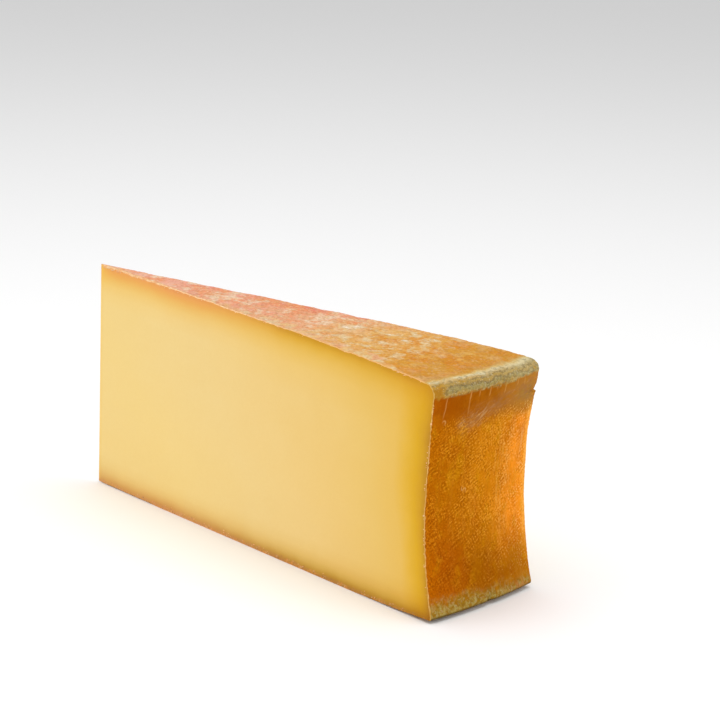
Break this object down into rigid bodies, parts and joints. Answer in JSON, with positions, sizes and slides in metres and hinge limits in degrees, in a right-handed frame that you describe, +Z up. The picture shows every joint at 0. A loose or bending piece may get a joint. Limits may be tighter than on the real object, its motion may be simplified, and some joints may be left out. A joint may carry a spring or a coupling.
{
  "type": "beaufort cheese wedge",
  "caption": "Tall narrow wedge of pressed mountain cheese, cut from a wheel, with smooth pale yellow cut faces and an orange-brown rind round a hollowed heel.",
  "frame": {"origin": "on the surface it stands on, under the middle of its bounding box", "axes": "+X from the cut tip to the rind heel, +Z up through the wheel's thickness, the pictured cut face towards -Y"},
  "size_m": [0.2976, 0.0854, 0.1337],
  "materials": {
    "paste": "satin"
  },
  "bodies": {
    "root": {"cheese_wedge": "paste"}
  },
  "joints": []
}
